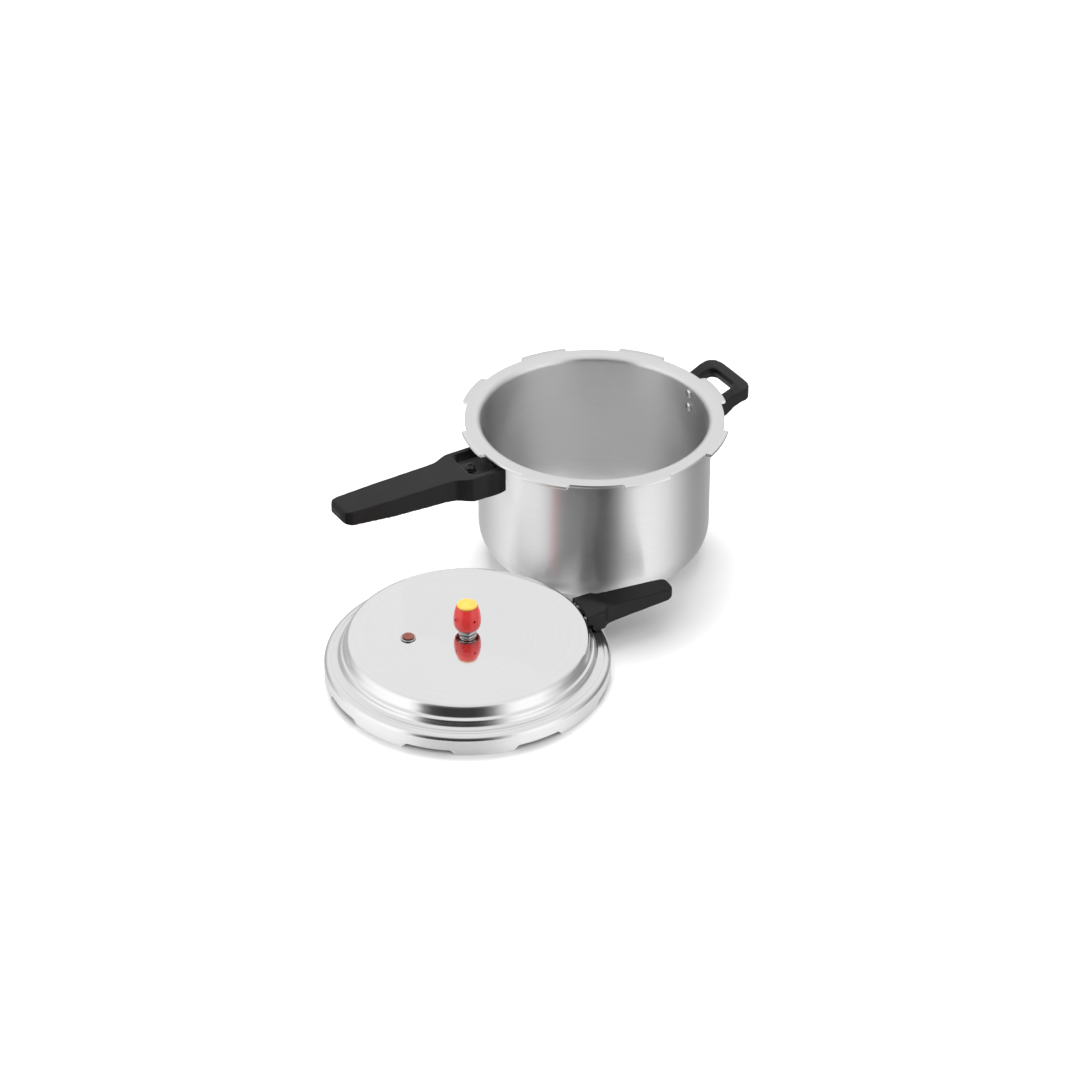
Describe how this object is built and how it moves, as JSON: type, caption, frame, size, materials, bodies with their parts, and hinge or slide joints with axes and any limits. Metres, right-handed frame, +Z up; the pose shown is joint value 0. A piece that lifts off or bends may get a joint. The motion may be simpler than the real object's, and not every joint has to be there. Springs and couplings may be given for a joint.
{
  "type": "stovetop pressure cooker",
  "caption": "Stovetop pressure cooker: polished pot with lugged flange, long and helper handles, and an outer twist-lock lid with pressure weight lying beside it.",
  "frame": {"origin": "centre of the underside of the pot's base, on the surface the pot and lid stand on", "axes": "+Z up along the pot's axis; +X towards the helper handle; the long handle runs along -X; the lid lies on the -X -Y side"},
  "size_m": [0.4774, 0.3547, 0.14],
  "materials": {
    "satin_aluminium": "satin, spun polish",
    "polished_aluminium": "bright polish with fine spin lines",
    "rivet_aluminium": "satin",
    "steel": "zinc-bright",
    "blackened_steel": "dark oxide",
    "black_phenolic": "moulded satin, fine grain",
    "gasket_rubber": "matt",
    "brass": "turned",
    "red_plastic": "moulded gloss",
    "yellow_plastic": "moulded satin",
    "plug_silicone": "moulded"
  },
  "bodies": {
    "pot": {"pot_body": "satin_aluminium", "long_handle_bracket": "blackened_steel", "long_handle_rivet_lower": "rivet_aluminium", "long_handle_rivet_upper": "rivet_aluminium", "long_handle": "black_phenolic", "long_handle_washer": "blackened_steel", "long_handle_screw": "blackened_steel", "helper_bracket": "steel", "helper_rivet_lower": "rivet_aluminium", "helper_rivet_upper": "rivet_aluminium", "helper_handle": "black_phenolic", "helper_washer": "steel", "helper_screw": "steel"},
    "vent_ball": {"vent_ball": "steel"},
    "gasket": {"lid_gasket": "gasket_rubber"},
    "lid": {"lid_shell": "polished_aluminium", "lid_handle": "black_phenolic", "lid_handle_bracket": "steel", "lid_rivet_left": "rivet_aluminium", "lid_rivet_right": "rivet_aluminium", "lid_handle_washer": "steel", "lid_handle_screw": "steel", "vent_pipe": "brass", "vent_washer": "gasket_rubber", "vent_nut": "steel", "vent_strainer": "steel", "plug_seat": "steel"},
    "weight": {"weight_core": "steel", "weight_cover": "red_plastic", "weight_cap": "yellow_plastic"},
    "safety_plug": {"safety_plug": "plug_silicone"}
  },
  "joints": [
    {"name": "lid_carry", "type": "hinge", "parent": "pot", "child": "vent_ball", "pos_m": [-0.13382, -0.07298, 0.1892], "axis": [-0.4788, 0.8779, 0], "range_deg": [0, 241.14]},
    {"name": "lid_level", "type": "hinge", "parent": "vent_ball", "child": "gasket", "pos_m": [-0.1984, -0.1082, 0.0557], "axis": [-0.4788, 0.8779, 0], "range_deg": [-241.14, 0]},
    {"name": "lid_turn", "type": "hinge", "parent": "gasket", "child": "lid", "pos_m": [-0.1984, -0.1082, 0], "axis": [0, 0, 1], "range_deg": [-172, 0]},
    {"name": "weight_lift", "type": "slide", "parent": "lid", "child": "weight", "axis": [0, 0, 1], "range_m": [0, 0.035]},
    {"name": "safety_plug_release", "type": "slide", "parent": "lid", "child": "safety_plug", "axis": [0, 0, 1], "range_m": [0, 0.012]}
  ],
  "couplings": [
    {"joint": "lid_level", "follows": "lid_carry", "ratio": -1}
  ]
}
